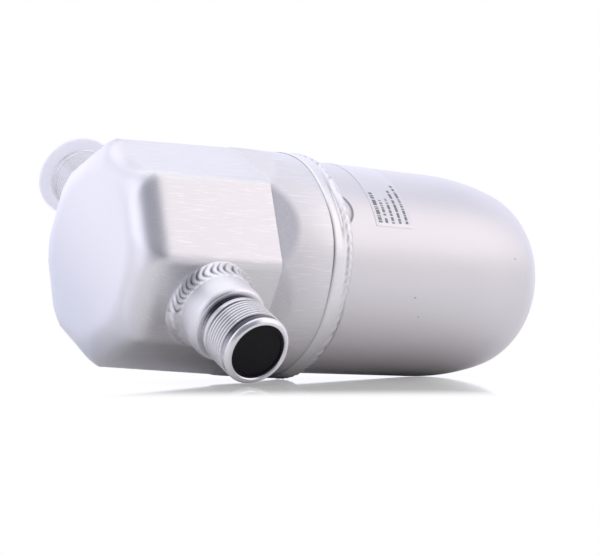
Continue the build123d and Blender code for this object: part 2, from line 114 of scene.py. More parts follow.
def only(piece):
    """Make piece the one selected and active object."""
    if bpy.context.object and bpy.context.object.mode != "OBJECT":
        bpy.ops.object.mode_set(mode="OBJECT")
    bpy.ops.object.select_all(action="DESELECT")
    piece.select_set(True)
    bpy.context.view_layer.objects.active = piece


def edit_all(piece):
    """Open piece in edit mode with all of it selected."""
    only(piece)
    bpy.ops.object.mode_set(mode="EDIT")
    bpy.ops.mesh.select_mode(type="VERT")
    bpy.ops.mesh.select_all(action="SELECT")


def leave_edit():
    """Close edit mode, which writes the changes to the mesh."""
    bpy.ops.object.mode_set(mode="OBJECT")


def apply_modifier(piece, kind, **settings):
    """Add a modifier with these settings and apply it."""
    only(piece)
    modifier = piece.modifiers.new(kind.lower(), kind)
    for name, value in settings.items():
        setattr(modifier, name, value)
    bpy.ops.object.modifier_apply(modifier=modifier.name)


def settle(piece, place):
    """Put piece in its place and leave its object at the origin, unturned."""
    only(piece)
    piece.matrix_world = place
    bpy.ops.object.transform_apply(location=True, rotation=True, scale=True)


def tidy_normals(piece):
    """Merge doubled vertices and point all faces outwards."""
    edit_all(piece)
    bpy.ops.mesh.remove_doubles(threshold=MERGE_DISTANCE)
    bpy.ops.mesh.normals_make_consistent(inside=False)
    leave_edit()


def smooth(piece, degrees):
    """Shade smooth, with a crease where faces meet at more than this angle."""
    only(piece)
    bpy.ops.object.shade_smooth_by_angle(angle=math.radians(degrees))


# %% [markdown]
# ## A small lathe
# The new pieces are turned on a lathe or laid round an axis. Spin would make them too, but
# extruding a circle ring by ring along a profile gives clean four-sided faces at chosen heights,
# which ripples can be pushed into later.

# %% Turning a profile


def turned(name, profile, segments):
    """Closed ring piece round Z. The profile lists (radius, height) in mm."""
    radius, height = profile[0]
    bpy.ops.object.select_all(action="DESELECT")
    bpy.ops.mesh.primitive_circle_add(
        vertices=segments, radius=radius * MM, location=(0, 0, 0), fill_type="NOTHING"
    )
    piece = bpy.context.object
    piece.name = name
    bpy.ops.object.mode_set(mode="EDIT")
    bpy.ops.mesh.select_all(action="SELECT")
    bpy.ops.transform.translate(value=(0, 0, height * MM))
    for next_radius, next_height in profile[1:] + profile[:1]:
        bpy.ops.mesh.extrude_edges_move(
            TRANSFORM_OT_translate={"value": (0, 0, (next_height - height) * MM)}
        )
        scale = next_radius / radius
        bpy.ops.transform.resize(
            value=(scale, scale, 1), center_override=(0, 0, next_height * MM)
        )
        radius, height = next_radius, next_height
    leave_edit()
    tidy_normals(piece)
    return piece


# %% [markdown]
# Relief is laid into a turned piece by a function of place. It weights the vertices, and a
# Displace modifier moves them by their weight, so that a ripple is real geometry. A second function
# can mark where painted shade goes, as a value on each vertex that a finish reads later.

# %% Pushing and marking a surface
HOLLOW = "hollow"  # name under which the marks are stored


def weighted(piece, group_name, weight_at):
    """Vertex group whose weights come from weight_at(place), between 0 and 1."""
    group = piece.vertex_groups.new(name=group_name)
    for vertex in piece.data.vertices:
        weight = weight_at(vertex.co)
        if weight > 0:
            group.add([vertex.index], min(weight, 1), "REPLACE")
    return group_name


def push(piece, distance, weight_at, direction="NORMAL"):
    """Push the surface out by up to distance, in mm, where weight_at is above 0."""
    apply_modifier(
        piece,
        "DISPLACE",
        strength=distance * MM,
        mid_level=0,
        direction=direction,
        vertex_group=weighted(piece, "push", weight_at),
    )
    piece.vertex_groups.clear()


def mark(piece, value_at):
    """Store value_at(place) on every vertex, for a finish to read."""
    layer = piece.data.attributes.new(HOLLOW, "FLOAT", "POINT")
    for vertex, item in zip(piece.data.vertices, layer.data):
        item.value = value_at(vertex.co)


# %% Measures round a ring


def ring_angle(spot):
    """Angle round Z, from 0 to 360 degrees."""
    return math.degrees(math.atan2(spot.y, spot.x)) % 360


def ring_radius(spot):
    """Distance from Z in mm."""
    return math.hypot(spot.x, spot.y) / MM


def wave(angle, times, turn=0):
    """Sine that runs so many times round the ring."""
    return math.sin(math.radians(angle * times + turn))


def bell(value, middle, width):
    """1 at the middle, falling off smoothly over the width."""
    return math.exp(-(((value - middle) / width) ** 2))


# %% [markdown]
# ## The fittings
# Each fitting is turned from bar: a spigot that enters the head, a collar, a relief groove, the
# thread and a plain nose with a bore. Rings piled on each other would look like a thread from
# afar, but a real one climbs. So the bar is turned first, with the thread's stretch left at its
# root, and one ridge is then wound on it as a screw.

# %% Turned body of a fitting
THREAD_PITCH = 1.5
THREAD_TURNS = 7
THREAD_CREST = 13.45
THREAD_ROOT = 12.65
THREAD_START = 65.9
THREAD_END = THREAD_START + (THREAD_TURNS + 0.6) * THREAD_PITCH
COLLAR = 15.5
SPIGOT_END = 36.75
NOSE = 81.5
BORE = 10.6
BAR_SEGMENTS = 128

fitting_profile = [
    (12.9, SPIGOT_END),  # spigot
    (12.9, 41.6),
    (COLLAR, 41.6),  # collar, rounded off at its outer end
    (COLLAR, 58.0),
    (15.3, 58.9),
    (14.6, 60.4),
    (14.2, 60.7),
    (12.2, 60.9),  # relief groove
    (12.1, 61.2),
    (12.1, 62.5),
    (THREAD_CREST - 0.1, 63.6),  # band before the thread
    (THREAD_CREST - 0.05, 65.6),
    (THREAD_ROOT, THREAD_START),  # the ridge is wound here
    (THREAD_ROOT, THREAD_END - 0.2),
    (13.1, THREAD_END),  # band behind the nose
    (13.1, 79.6),
    (THREAD_CREST - 0.1, 79.8),  # rounded nose
    (13.05, 80.4),
    (12.6, 81.0),
    (12.0, NOSE),
    (BORE + 0.45, NOSE),  # bore
    (BORE, 81.0),
    (BORE, 51.5),
]
front_throat = [(6.5, 48.5), (6.5, 45.05), (8.15, 45.05), (8.15, SPIGOT_END)]
rear_throat = [(8.0, 48.5), (8.0, SPIGOT_END)]
print("the thread is", round(THREAD_END - THREAD_START, 1), "mm long")

# %% [markdown]
# The ridge's section is a small trapezium whose foot is sunk in the bar, so no gap opens between
# the two. The Screw modifier winds it, and caps close its ends.

# %% Ridge of the thread
RIDGE_FOOT = THREAD_PITCH * 0.42  # half widths of the ridge
RIDGE_TOP = THREAD_PITCH * 0.12
RIDGE_SUNK = 0.3
RIDGE_STEPS = 64  # mesh steps in a turn
PLANE_ORDER = (0, 1, 3, 2)  # a plane's vertices, taken round its edge


def thread_ridge(name):
    """One ridge of the thread, wound as a screw and closed at both ends."""
    bpy.ops.object.select_all(action="DESELECT")
    bpy.ops.mesh.primitive_plane_add(size=1, location=(0, 0, 0))
    ridge = bpy.context.object
    ridge.name = name
    section = (
        (THREAD_ROOT - RIDGE_SUNK, -RIDGE_FOOT),
        (THREAD_CREST, -RIDGE_TOP),
        (THREAD_CREST, RIDGE_TOP),
        (THREAD_ROOT - RIDGE_SUNK, RIDGE_FOOT),
    )
    for index, (radius, height) in zip(PLANE_ORDER, section):
        height += THREAD_START + RIDGE_FOOT
        ridge.data.vertices[index].co = (radius * MM, 0, height * MM)
    edit_all(ridge)
    bpy.ops.mesh.delete(type="ONLY_FACE")
    leave_edit()
    apply_modifier(
        ridge,
        "SCREW",
        angle=2 * math.pi,
        screw_offset=THREAD_PITCH * MM,
        iterations=THREAD_TURNS,
        steps=RIDGE_STEPS,
        render_steps=RIDGE_STEPS,
        use_merge_vertices=False,
    )
    edit_all(ridge)
    bpy.ops.mesh.fill_holes(sides=8)
    leave_edit()
    tidy_normals(ridge)
    print(name, "wound in", THREAD_TURNS, "turns")
    return ridge


# %% [markdown]
# Painted shade darkens the groove and the thread's roots. It is deepest on the upper side, and
# the bore has none.

# %% Painted shade on a fitting
ROOT_SHADE_FROM = 60.8
ROOT_SHADE_TO = 79.7
ROOT_SHADE_DEPTH = 0.3  # below the crests, where the painted shade is full
ROOT_SHADE_SIDE = 112  # degrees
OUTSIDE = 12  # least radius of the outer surface


def fitting_painted_shade(spot):
    """Painted shade at a place on a fitting, between 0 and 1."""
    radius, height = ring_radius(spot), spot.z / MM
    if not ROOT_SHADE_FROM <= height <= ROOT_SHADE_TO or radius < OUTSIDE:
        return 0
    facing_side = max(0, math.cos(math.radians(ring_angle(spot) - ROOT_SHADE_SIDE)))
    upper = min(1, 1.7 * facing_side**2)
    return min(1, (THREAD_CREST - radius) / ROOT_SHADE_DEPTH) * (0.25 + 0.75 * upper)


# %% [markdown]
# A turned part is deburred, so the bar's sharp edges get a small bevel. Then bar and ridge are
# joined into one piece and marked, shaded smooth and put in their place.

# %% Both fittings


def threaded_fitting(name, throat, place):
    """Turned fitting with its thread, in its place on the head."""
    body = turned(name, fitting_profile + throat, BAR_SEGMENTS)
    apply_modifier(
        body,
        "BEVEL",
        width=0.12 * MM,
        segments=2,
        limit_method="ANGLE",
        angle_limit=math.radians(30),
    )
    ridge = thread_ridge(name + "_ridge")
    only(body)
    ridge.select_set(True)
    bpy.ops.object.join()
    mark(body, fitting_painted_shade)
    smooth(body, 40)
    settle(body, place)
    return body


front_turned = threaded_fitting("front_fitting_turned", front_throat, front_place)
rear_turned = threaded_fitting("rear_fitting_turned", rear_throat, rear_place)
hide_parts("front_fitting")
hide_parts("rear_fitting")
for fitting in (front_turned, rear_turned):
    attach(fitting, "root")
print("fitting triangles:", len(front_turned.data.polygons) * 2)

# %% [markdown]
# ## The fitting welds
# The welder walks round the collar and adds a drop at a time, so the fillet is a row of
# overlapping scales. A bump could draw them, but their shadows and their outline need geometry.
# The ring is turned with many steps, the scales are pushed out of it, and its toe is laid on the
# head's faces.

# %% Section of a fitting weld
SCALES = 38
SCALE_STEPS = 12  # mesh steps along each scale
TOE = 17.7
WELD_TOP = 49.6
SCALES_FROM = 42.3  # heights at which the scales start and end
SCALES_TO = WELD_TOP - 0.3

weld_profile = [
    (15.2, 39.9),  # underside, sunk in the head
    (18.4, 39.9),
    (18.1, 42.0),
    (TOE, 42.5),  # hollow face from the toe up to the collar
    (17.5, 43.0),
    (17.25, 43.6),
    (17.0, 44.3),
    (16.75, 45.1),
    (16.5, 45.9),
    (16.25, 46.7),
    (16.05, 47.5),
    (15.85, 48.3),
    (15.68, 49.0),
    (COLLAR, WELD_TOP),
    (15.2, WELD_TOP),
]


def toe_share(spot):
    """0 at the collar and 1 at the toe."""
    return max(0, min(1, (ring_radius(spot) - COLLAR) / (TOE - COLLAR)))


print("each scale is", round(2 * math.pi * COLLAR / SCALES, 1), "mm long at the collar")

# %% [markdown]
# A drop that froze rises slowly and falls steeply to the next one, and its edge bows back along
# the ring. No hand keeps an even pace, so the scales' heights are drawn at random and three waves
# shift them to and fro. On one side the metal flowed out calm and hides them.

# %% Scales of a weld
SCALE_BOW = 0.9  # of a scale's length
SCALE_SWAYS = ((3, 0.35), (7, 0.13), (11, 0.06))  # waves round the ring, and shift in scales
CALM = 0.1  # what is left of the scales on the calm side
LIGHTER_SHADE_BELOW = 78  # degrees up to which the painted shade in the gaps is lighter
LIGHTER_SHADE = 0.4


def frozen_drop(drop):
    """Height across one drop, whose place runs from 0 to 1."""
    return math.sin(math.pi * drop**1.5) ** 0.6


def scale_reliefs(calm_from, calm_to, seed):
    """Two functions of place: the scales' height, and the painted shade in the gaps between them.
    """
    draw = random.Random(seed)
    heights = [draw.uniform(0.5, 1) for _ in range(SCALES)]
    turns = [draw.uniform(0, 360) for _ in SCALE_SWAYS]

    def scale_at(spot):
        """Place within the scale along the ring, its index, and the place between toe and top."""
        climb = (spot.z / MM - SCALES_FROM) / (SCALES_TO - SCALES_FROM)
        if not 0 <= climb <= 1 or ring_radius(spot) < COLLAR:
            return None
        angle = ring_angle(spot)
        phase = angle / 360 * SCALES - SCALE_BOW * math.sin(math.pi * climb)
        for turn, (times, shift) in zip(turns, SCALE_SWAYS):
            phase += shift * wave(angle, times, turn)
        return phase % 1, int(phase) % SCALES, climb

    def calm(spot):
        return CALM if calm_from <= ring_angle(spot) <= calm_to else 1

    def height_at(spot):
        found = scale_at(spot)
        if not found:
            return 0
        drop, index, climb = found
        height = frozen_drop(drop) * heights[index] * calm(spot)
        return height * math.sin(math.pi * climb) ** 0.35

    # Painted shade in the gaps between the scales, lighter on one side.
    def gap_shade_at(spot):
        found = scale_at(spot)
        if not found:
            return 0
        drop, _, climb = found
        lighter_shade = LIGHTER_SHADE if ring_angle(spot) < LIGHTER_SHADE_BELOW else 1
        gap = lighter_shade * bell(min(drop, 1 - drop), 0, 0.18) * calm(spot)
        return gap * math.sin(math.pi * climb) ** 0.5

    return height_at, gap_shade_at


# %% [markdown]
# The head's flats lean and end in ramps, so the toe can't be a plain circle. Shrinkwrap projects
# it down on the solid head, with more of it taken along the nearer it is to the toe.

# %% Fillet round a fitting
TOE_FROM = 0.6  # share of the way to the toe from which the ring is laid on the head
UNDERSIDE = 41  # what lies below this height stays sunk in the head


def near_toe(spot):
    """How far a place is taken along to the head, between 0 and 1."""
    if spot.z / MM <= UNDERSIDE:
        return 0
    return max(0, (toe_share(spot) - TOE_FROM) / 0.4)


def lay_toe(weld, place):
    """Bring the ring's toe down on the head's faces."""
    weld.matrix_world = place
    bpy.context.view_layer.update()
    apply_modifier(
        weld,
        "SHRINKWRAP",
        target=node["head_shell"],
        wrap_method="PROJECT",
        use_project_z=True,
        use_negative_direction=True,
        use_positive_direction=False,
        offset=0.1 * MM,
        vertex_group=weighted(weld, "toe", near_toe),
    )
    weld.vertex_groups.clear()
    weld.matrix_world = Matrix.Identity(4)


def rippled_weld(name, place, calm_from, calm_to, seed):
    """Fillet ring with scales, except between two angles where it flowed out smooth and wide."""
    weld = turned(name, weld_profile, SCALES * SCALE_STEPS)
    scale_height, gap = scale_reliefs(calm_from, calm_to, seed)
    wide_middle = math.radians((calm_from + calm_to) / 2 - 20)

    def wide_foot(spot):
        turn = math.cos(math.atan2(spot.y, spot.x) - wide_middle)
        return max(0, turn) ** 3 * toe_share(spot)

    mark(weld, gap)
    push(weld, 0.6, scale_height)
    push(weld, 1.9, wide_foot)
    push(weld, 1.8, toe_share, "X")  # the toe reaches farther towards the can
    push(weld, -0.5, toe_share, "Y")
    lay_toe(weld, place)
    settle(weld, place)
    return weld


front_weld = rippled_weld(
    "front_fitting_fillet", front_place, calm_from=190, calm_to=300, seed=5
)
rear_weld = rippled_weld("rear_fitting_fillet", rear_place, calm_from=250, calm_to=300, seed=11)
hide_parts("front_fitting_weld")
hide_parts("rear_fitting_weld")
for weld in (front_weld, rear_weld):
    smooth(weld, 60)
    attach(weld, "root")
print("weld triangles:", len(front_weld.data.polygons) * 2)

# %% [markdown]
# ## The seam weld
# Head and can meet under one long weld. On the head's side it washed out flat, and on the can's
# side it stands up as a bead with ripples four or five millimetres apart. It is turned as a ring
# round the drier, with close rings where the relief is fine.

# %% Section of the seam weld
SEAM_RIPPLES = 66
RIPPLE_STEPS = 8  # mesh steps along each ripple
BEAD_FROM = 88.0  # station at which the bead's ripples start
BEAD_WIDTH = 5.0
BEAD_TOP = 47.14

seam_profile = [
    (44.55, 89.2),  # underside on can and head
    (46.55, 89.0),
    (46.52, 82.6),
    (46.62, 82.5),  # toe of the flat wash
    (46.78, 82.9),
    (46.86, 83.8),
    (46.9, 85.4),
    (46.9, 86.2),
    (46.89, 86.7),
    (46.87, 87.1),  # valley between wash and bead
    (46.85, 87.5),
    (46.8, 88.0),
    (46.76, 88.5),
    (46.92, 89.1),  # bead
    (47.08, 89.7),
    (BEAD_TOP, 90.4),
    (47.09, 90.75),
    (47.02, 91.1),
    (46.66, 91.8),
    (46.1, 92.4),
    (45.4, 92.85),
    (44.75, 93.1),
    (44.5, 93.1),
]
seam = turned("seam_bead", seam_profile, SEAM_RIPPLES * RIPPLE_STEPS)
seam_draw = random.Random(3)
seam_heights = [seam_draw.uniform(0.2, 1) for _ in range(SEAM_RIPPLES)]
print("each ripple is", round(2 * math.pi * BEAD_TOP / SEAM_RIPPLES, 1), "mm long")

# %% [markdown]
# The ripples have the same frozen-drop shape as the scales, but they are taken back from the bead,
# so that its crest keeps the size of the solid weld.

# %% Ripples of the seam


def seam_place(spot):
    """Station in mm and the angle above the level on the near side, in degrees."""
    return spot.z / MM, -math.degrees(math.atan2(spot.y, spot.x))


def seam_ripple(spot):
    """Depth that is taken back from the bead between its ripples."""
    station, angle = seam_place(spot)
    climb = (station - BEAD_FROM) / BEAD_WIDTH
    if not 0 < climb < 1:
        return 0
    phase = (angle % 360) / 360 * SEAM_RIPPLES - SCALE_BOW * math.sin(math.pi * climb)
    phase += 0.5 * wave(angle, 5) + 0.25 * wave(angle, 13, 40)
    depth = (1 - frozen_drop(phase % 1)) * seam_heights[int(phase) % SEAM_RIPPLES]
    return depth * math.sin(math.pi * climb)


def wander(spot):
    """Slow sway of both edges of the weld along the drier, between 0 and 1."""
    _, angle = seam_place(spot)
    sway = 0.5 + 0.3 * wave(angle, 2.1, 12) + 0.2 * wave(angle, 7)
    return sway if ring_radius(spot) > 46 else 0


# %% [markdown]
# Painted shade darkens three places: along the wash's toe, in the valley that stays open
# between wash and bead on the upper near side, and under the bead lower down.

# %% Painted shade in the seam's gaps


def seam_valley(spot):
    """Open joint between wash and bead on the upper near side."""
    station, angle = seam_place(spot)
    return bell(station, 87.2, 0.75) * bell(angle, 27, 14)


def seam_gap_shade(spot):
    """Painted shade in the seam's hollows, between 0 and 1, on its outer surface only."""
    if abs(ring_radius(spot) - 46.6) > 0.7:
        return 0
    station, angle = seam_place(spot)
    toe = bell(station, 82.55, 0.35) * (0.08 + 0.55 * bell(angle, 0, 28))
    lower = bell(station, 90.75, 0.3) * bell(angle, -32, 18)
    return max(toe, seam_valley(spot), lower * 0.8, seam_ripple(spot) * 0.4)


# %% Laying the seam
mark(seam, seam_gap_shade)
push(seam, -0.5, seam_ripple)
push(seam, -0.6, seam_valley)
push(seam, 1.4, wander, "Z")
smooth(seam, 60)
settle(seam, drier_place)
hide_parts("seam_weld")
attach(seam, "root")
print("seam triangles:", len(seam.data.polygons) * 2)

# %% [markdown]
# ## Shader maths as expressions
# A finish is a network of nodes. One small class lets the network be written as ordinary sums, and
# one method adds any other node, so that a finish reads like a recipe.

# %% A value in a finish


class Signal:
    """A value on its way through a finish."""

    def __init__(self, recipe, socket):
        self.recipe = recipe
        self.socket = socket

    def _math(self, operation, *values):
        return self.recipe.add("ShaderNodeMath", {"operation": operation}, dict(enumerate(values)))

    def __add__(self, other):
        return self._math("ADD", self, other)

    __radd__ = __add__

    def __sub__(self, other):
        return self._math("SUBTRACT", self, other)

    def __rsub__(self, other):
        return self._math("SUBTRACT", other, self)

    def __mul__(self, other):
        return self._math("MULTIPLY", self, other)

    __rmul__ = __mul__

    def __truediv__(self, other):
        return self._math("DIVIDE", self, other)

    def minimum(self, other):
        return self._math("MINIMUM", self, other)

    def maximum(self, other):
        return self._math("MAXIMUM", self, other)

    def root(self):
        return self._math("SQRT", self)

    def angle_over(self, base):
        """Angle in degrees of a slope that rises by this value over the base."""
        return self._math("ARCTAN2", self, base) * (180 / math.pi)

    def over(self, low, high):
        """0 below low, 1 above high, and a smooth step between. Low may be the larger."""
        settings = {"interpolation_type": "SMOOTHSTEP"}
        values = {0: self, 1: low, 2: high, 3: 0, 4: 1}
        return self.recipe.add("ShaderNodeMapRange", settings, values)

    def within(self, low, high, soft):
        """1 between low and high, falling to 0 over the soft distance."""
        return self.over(low - soft, low + soft) * self.over(high + soft, high - soft)


# %% A network of nodes


class Recipe:
    """A network of nodes, added by short calls."""

    def __init__(self, tree):
        self.tree = tree

    def add(self, kind, settings=None, values=None, output=0):
        """Add a node: its settings first, then its sockets' values or links."""
        made = self.tree.nodes.new(kind)
        for name, value in (settings or {}).items():
            setattr(made, name, value)
        for name, value in (values or {}).items():
            if isinstance(value, Signal):
                self.tree.links.new(value.socket, made.inputs[name])
            else:
                made.inputs[name].default_value = value
        return Signal(self, made.outputs[output])

    def mix(self, factor, first, second):
        """Blend of two colours."""
        first, second = (
            value if isinstance(value, Signal) else (*value, 1) for value in (first, second)
        )
        values = {0: factor, 6: first, 7: second}
        return self.add("ShaderNodeMix", {"data_type": "RGBA"}, values, output=2)

    def dot(self, vector, direction):
        """How far the vector reaches along the direction."""
        settings = {"operation": "DOT_PRODUCT"}
        values = {0: vector, 1: direction}
        return self.add("ShaderNodeVectorMath", settings, values, output="Value")


# %% A finish


class Finish(Recipe):
    """A material on Principled BSDF."""

    def __init__(self, name, color, roughness, metallic=0.0):
        self.material = bpy.data.materials.new(name)
        self.material.use_nodes = True
        super().__init__(self.material.node_tree)
        self.shader = self.tree.nodes["Principled BSDF"]
        self.constant("Base Color", (*color, 1))
        self.constant("Roughness", roughness)
        self.constant("Metallic", metallic)

    def constant(self, name, value):
        self.shader.inputs[name].default_value = value

    def feed(self, name, signal):
        self.tree.links.new(signal.socket, self.shader.inputs[name])

    def place(self):
        """Place on the piece, in the frame that all pieces share."""
        return self.add("ShaderNodeTexCoord", output="Object")

    def measure(self, direction, origin):
        """Distance in mm from origin along direction."""
        settings = {"operation": "SUBTRACT"}
        spot = self.add("ShaderNodeVectorMath", settings, {0: self.place(), 1: origin})
        return self.dot(spot, direction) / MM

    def whereabouts(self):
        """Station, reach to the near side and rise above the drier's axis, in mm."""
        return [self.measure(direction, base_point) for direction in (along, nearward, upward)]

    def hollows(self):
        """The marks that were stored on the piece, between 0 and 1."""
        return self.add("ShaderNodeAttribute", {"attribute_name": HOLLOW}, output="Fac")

    def noise(self, vector, scale, detail=2.0, roughness=0.5):
        values = {"Vector": vector, "Scale": scale, "Detail": detail, "Roughness": roughness}
        return self.add("ShaderNodeTexNoise", None, values)

    def stretched(self, x, y, z, detail, roughness=0.5):
        """Noise over three measures, which are scaled to draw it out or squeeze it."""
        vector = self.add("ShaderNodeCombineXYZ", None, {0: x, 1: y, 2: z})
        return self.noise(vector, 1.0, detail, roughness)

    def bump(self, height, distance, strength=1.0, normal=None):
        """Relief from a height between 0 and 1, with its real depth in mm."""
        values = {"Height": height, "Distance": distance * MM, "Strength": strength}
        if normal:
            values["Normal"] = normal
        return self.add("ShaderNodeBump", None, values)

    def dress(self, *pieces):
        """Put the finish on whole pieces."""
        for piece in pieces:
            piece.data.materials.clear()
            piece.data.materials.append(self.material)
            for face in piece.data.polygons:
                face.material_index = 0
        print(self.material.name, "on", ", ".join(piece.name for piece in pieces))


def nick(off, drop, core):
    """1 in the core of a small oval, whose edge is where off and drop reach 1 together."""
    return (off * off + drop * drop).over(1, core)


# %% [markdown]
# ## Aluminium of the head
# The head is pressed from sheet and brushed along its length, so its fine lines run with the
# axis. Handling leaves soft cloudy patches and short bright scratches. Stretching a noise along the
# drier gives such lines anywhere on the shape, where a flat picture of them would need unwrapping.

# %% Brushed sheet of the head
head_finish = Finish("brushed_head", (0.79, 0.785, 0.80), 0.34, 1.0)
station, side, rise = head_finish.whereabouts()
cloud = head_finish.noise(head_finish.place(), 28, 3)
lines = head_finish.stretched(station * 0.035, side * 1.9, rise * 1.9, 3, 0.6)
scratches = head_finish.stretched(station * 0.09, side * 2.6, rise * 2.6, 2).over(0.56, 0.68)
grain = head_finish.noise(head_finish.place(), 2600, 2)
sheet = head_finish.mix(cloud, (0.76, 0.755, 0.775), (0.84, 0.835, 0.845))
sheet = head_finish.mix(lines * 0.25, sheet, (0.70, 0.70, 0.71))
sheet = head_finish.mix(scratches * 0.5, sheet, (0.97, 0.96, 0.96))

# %% [markdown]
# The closed end is paler, and painted shade darkens it to the far side. It has a few very faint
# nicks. The press drew the creases round it softer than the solid model's edges, so the Bevel node
# eases them in the shading, less and less towards the flats. The ramps behind the flats were
# stretched most, which leaves them duller.

# %% Closed end and ramps of the head
END_NICKS = ((11.6, -20.4, 1.0), (33.0, -22.5, 0.9), (-1.2, -8.5, 0.7), (8.9, -29.2, 0.8))
EASED_RADIUS = 5 * MM

end = station.over(9, 2)
for nick_side, nick_rise, size in END_NICKS:
    oval = nick((side - nick_side) / size, (rise - nick_rise) / (size * 0.55), 0.1)
    end = end * (1 - oval * 0.5)
# Painted shade darkens the closed end towards its far side.
far_side_shade = (side * 0.6 + rise * 0.8).over(22, -40)
end_shaded_tone = head_finish.mix(far_side_shade, (0.90, 0.89, 0.92), (0.63, 0.66, 0.72))
ramps = station.over(59, 60.5) * station.over(88, 64)
eased_values = {"Radius": station.over(40, 24) * EASED_RADIUS}
eased = head_finish.add("ShaderNodeBevel", {"samples": 6}, eased_values)
head_finish.feed("Base Color", head_finish.mix(end * 0.85, sheet, end_shaded_tone))
head_finish.feed("Roughness", 0.27 + cloud * 0.1 + lines * 0.06 + ramps * 0.2)
head_finish.feed("Normal", head_finish.bump(lines * 0.7 + grain * 0.3, 0.02, 0.6, eased))
head_finish.dress(node["head_shell"])

# %% [markdown]
# ## Aluminium of the can
# The can is drawn, so it is smoother than the head, with a faint grain. Beside the seam it has a
# dent shaped like a crescent, whose dark rim and inside are painted shade, and farther down a few
# nicks. All of them are too shallow to be geometry, so colour and bump draw them.

# %% Grain of the can
can_finish = Finish("drawn_can", (0.78, 0.775, 0.79), 0.36, 1.0)
station, side, rise = can_finish.whereabouts()
cloud = can_finish.noise(can_finish.place(), 22, 3)
lines = can_finish.stretched(station * 0.05, side * 1.4, rise * 1.4, 3, 0.6)
grain = can_finish.noise(can_finish.place(), 2200, 2)
sheet = can_finish.mix(cloud, (0.75, 0.745, 0.765), (0.83, 0.82, 0.83))
sheet = can_finish.mix(lines * 0.2, sheet, (0.70, 0.69, 0.70))

# %% Crescent and nicks of the can
CRESCENT_ANGLE = 29  # middle of the crescent, in degrees above the level
CRESCENT_STATION = 97.6
CAN_NICKS = ((127.9, -16.4, 0.9), (132.2, -26.9, 0.6), (183.6, 9.5, 1.1))

angle = rise.angle_over(side)
# The crescent's dark rim and the shade inside the dent are painted shade; the nicks are wear.
bow = (angle - CRESCENT_ANGLE) / 8
rim = station - CRESCENT_STATION + bow * bow * 2.6
shade = rim.over(-3.2, -0.6) * rim.over(0.2, -0.1) * 0.45
crescent = (rim.within(-0.8, 0.3, 0.35) + shade).minimum(1)
dent_shade_and_nicks = crescent * angle.within(20.5, 37, 1.5)
for nick_station, nick_angle, length in CAN_NICKS:
    oval = nick((station - nick_station) / length, (angle - nick_angle) / 0.5, 0.2)
    dent_shade_and_nicks = dent_shade_and_nicks + oval * 0.6
can_finish.feed("Base Color", can_finish.mix(dent_shade_and_nicks * 0.8, sheet, (0.16, 0.16, 0.18)))
can_finish.feed("Roughness", 0.3 + cloud * 0.12 + grain * 0.05)
can_finish.feed("Normal", can_finish.bump(lines * 0.5 + grain * 0.5 - dent_shade_and_nicks * 8, 0.02, 0.5))
can_finish.dress(node["can_shell"])

# %% [markdown]
# ## Weld metal
# Fresh weld is brighter than the sheet beside it, with a sugar-fine surface. Painted shade
# darkens the gaps that were marked between the scales and along the seam.

# %% Weld finish
weld_finish = Finish("weld_metal", (0.86, 0.86, 0.87), 0.3, 1.0)
speckle = weld_finish.noise(weld_finish.place(), 900, 3, 0.6)
lump = weld_finish.noise(weld_finish.place(), 160, 2)
unshaded = weld_finish.mix(speckle, (0.80, 0.80, 0.82), (0.93, 0.93, 0.94))
# Painted shade darkens the marked gaps almost to black.
shaded_weld = weld_finish.mix(weld_finish.hollows() * 0.95, unshaded, (0.09, 0.09, 0.12))
weld_finish.feed("Base Color", shaded_weld)
weld_finish.feed("Roughness", 0.24 + lump * 0.22)
weld_finish.feed("Normal", weld_finish.bump(speckle * 0.4 + lump, 0.08, 0.5))
weld_finish.dress(front_weld, rear_weld, seam)

# %% [markdown]
# ## Turned aluminium
# The lathe leaves hair-fine rings round each fitting, so its pattern runs with its height. The
# collar is duller than the thread. The front fitting has strong painted shade in its groove and
# roots, and the rear one only a little.

# %% Fitting finish


def turned_finish(name, outward, root_shade):
    """Finish of a fitting that points outward, with this much painted shade in its hollows."""
    finish = Finish(name, (0.83, 0.83, 0.84), 0.22, 1.0)
    height = finish.measure(outward, port_point)
    rings = finish.stretched(height * 9, 0.0, 0.0, 2, 0.7)
    smear = finish.noise(finish.place(), 90, 2)
    unshaded = finish.mix(smear, (0.82, 0.82, 0.84), (0.91, 0.91, 0.915))
    # Painted shade darkens the marked groove and roots almost to black.
    finish.feed("Base Color", finish.mix(finish.hollows() * root_shade, unshaded, (0.03, 0.03, 0.05)))
    finish.feed("Roughness", 0.17 + smear * 0.12 + height.over(61, 59) * 0.2)
    finish.feed("Normal", finish.bump(rings, 0.015, 0.6))
    return finish


turned_finish("turned_front", front, 0.92).dress(front_turned)
turned_finish("turned_rear", -front, 0.12).dress(rear_turned)

# %% [markdown]
# ## Rubber bung and plastic cap
# The bung is matt black rubber. The cap is a pale waxy plastic that lets some light in, so it has
# a little subsurface light, and a faint glow stands for the light that comes through it.

# %% Plug and cap finishes
rubber = Finish("bung_rubber", (0.004, 0.004, 0.005), 0.6)
skin = rubber.noise(rubber.place(), 1500, 3)
rubber.constant("Specular IOR Level", 0.25)
rubber.feed("Roughness", 0.5 + skin * 0.25)
rubber.feed("Normal", rubber.bump(skin, 0.03, 0.5))
rubber.dress(node["front_plug"])

